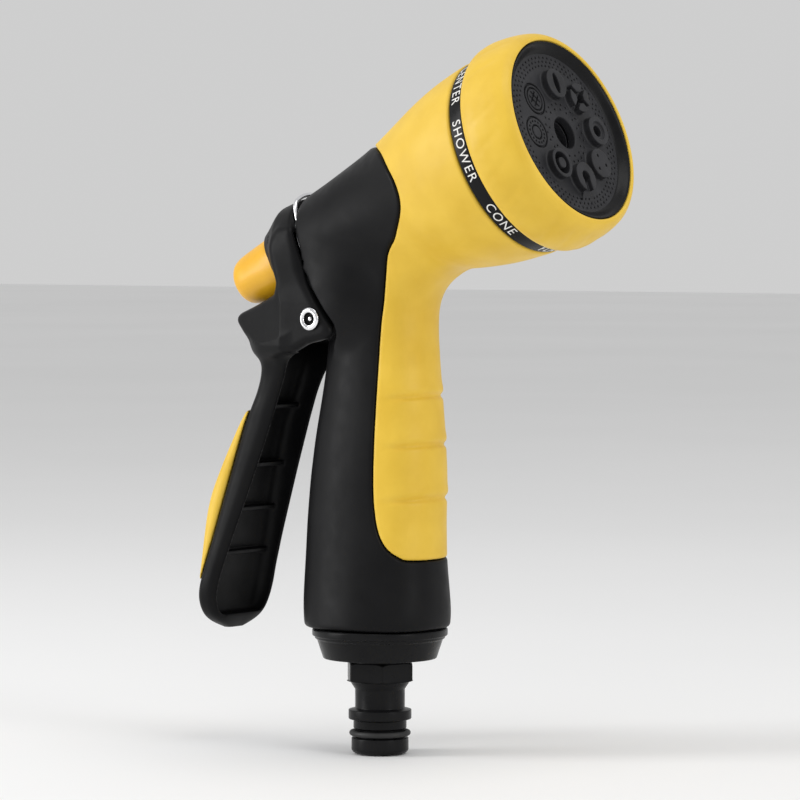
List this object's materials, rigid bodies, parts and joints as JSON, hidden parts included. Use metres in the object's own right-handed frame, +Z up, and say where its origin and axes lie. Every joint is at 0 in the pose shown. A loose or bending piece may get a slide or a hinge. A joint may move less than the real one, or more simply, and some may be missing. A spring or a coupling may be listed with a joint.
{
  "type": "hose spray nozzle",
  "caption": "Pistol-grip garden hose spray nozzle with a rear squeeze lever, a flow knob behind the barrel, a turning pattern head and a quick-connect plug.",
  "frame": {"origin": "centre of the hose plug's end face, the lowest face of the nozzle", "axes": "+Z up the handle, +X the side that the water leaves, Y across the handle. The barrel axis lies in the XZ plane, crosses the handle axis at z 0.1452 and rises 21 degrees towards +X"},
  "size_m": [0.1261, 0.059, 0.1946],
  "materials": {
    "black_plastic": "moulded black plastic, satin",
    "soft_yellow": "soft yellow overmould, matt",
    "knob_yellow": "moulded deep yellow plastic, half gloss",
    "rubber": "moulded black rubber, matt",
    "white_plastic": "natural white plastic, satin",
    "steel": "turned or drawn stainless steel",
    "chrome": "bright plated steel"
  },
  "bodies": {
    "body": {"body_shell": "black_plastic", "grip_overmould": "soft_yellow", "handle_collar": "black_plastic", "hose_adapter": "black_plastic", "plug_o_ring": "rubber", "inlet_washer": "rubber", "inlet_filter": "white_plastic", "port_seal": "rubber", "port_seal_spring": "steel", "detent_spring": "steel", "hub_o_ring": "rubber", "head_screw": "steel", "valve_spring": "steel", "gland_nut": "white_plastic", "stem_o_ring": "rubber", "pivot_rivet": "chrome"},
    "head": {"head_bezel": "soft_yellow", "label_band": "black_plastic", "pattern_disc": "black_plastic", "distributor_plate": "white_plastic"},
    "detent": {"detent_ball": "steel"},
    "lever_arm": {"lever": "black_plastic", "lever_pad": "soft_yellow"},
    "knob": {"flow_knob": "knob_yellow"},
    "stem": {"valve_stem": "steel", "valve_seal": "rubber", "seal_nut": "steel"},
    "clip": {"lock_clip": "chrome"}
  },
  "joints": [
    {"name": "lever_squeeze", "type": "hinge", "parent": "body", "child": "lever_arm", "pos_m": [-0.0116, 0, 0.1185], "axis": [0, -1, 0], "range_deg": [0, 12], "stiffness_Nm_per_rad": 2, "springref_deg": -8.59},
    {"name": "stem_slide", "type": "slide", "parent": "body", "child": "stem", "axis": [-0.9336, 0, -0.3584], "range_m": [0, 0.0055], "deforming": ["valve_spring"]},
    {"name": "flow_knob_turn", "type": "hinge", "parent": "lever_arm", "child": "knob", "pos_m": [-0.03734, 0, 0.13087], "axis": [0.9336, 0, 0.3584], "range_deg": [0, 540]},
    {"name": "head_turn", "type": "hinge", "parent": "body", "child": "head", "pos_m": [0, 0, 0.1452], "axis": [0.9336, 0, 0.3584], "continuous": true},
    {"name": "detent_press", "type": "slide", "parent": "body", "child": "detent", "axis": [-0.9336, 0, -0.3584], "range_m": [0, 0.0008], "stiffness_N_per_m": 300, "springref_m": -0.001, "deforming": ["detent_spring"]},
    {"name": "lock_clip_flip", "type": "hinge", "parent": "body", "child": "clip", "pos_m": [-0.01632, 0, 0.13358], "axis": [0, 1, 0], "range_deg": [0, 3.5]}
  ],
  "couplings": [
    {"joint": "stem_slide", "follows": "lever_squeeze", "m_per_rad": 0.0245}
  ]
}
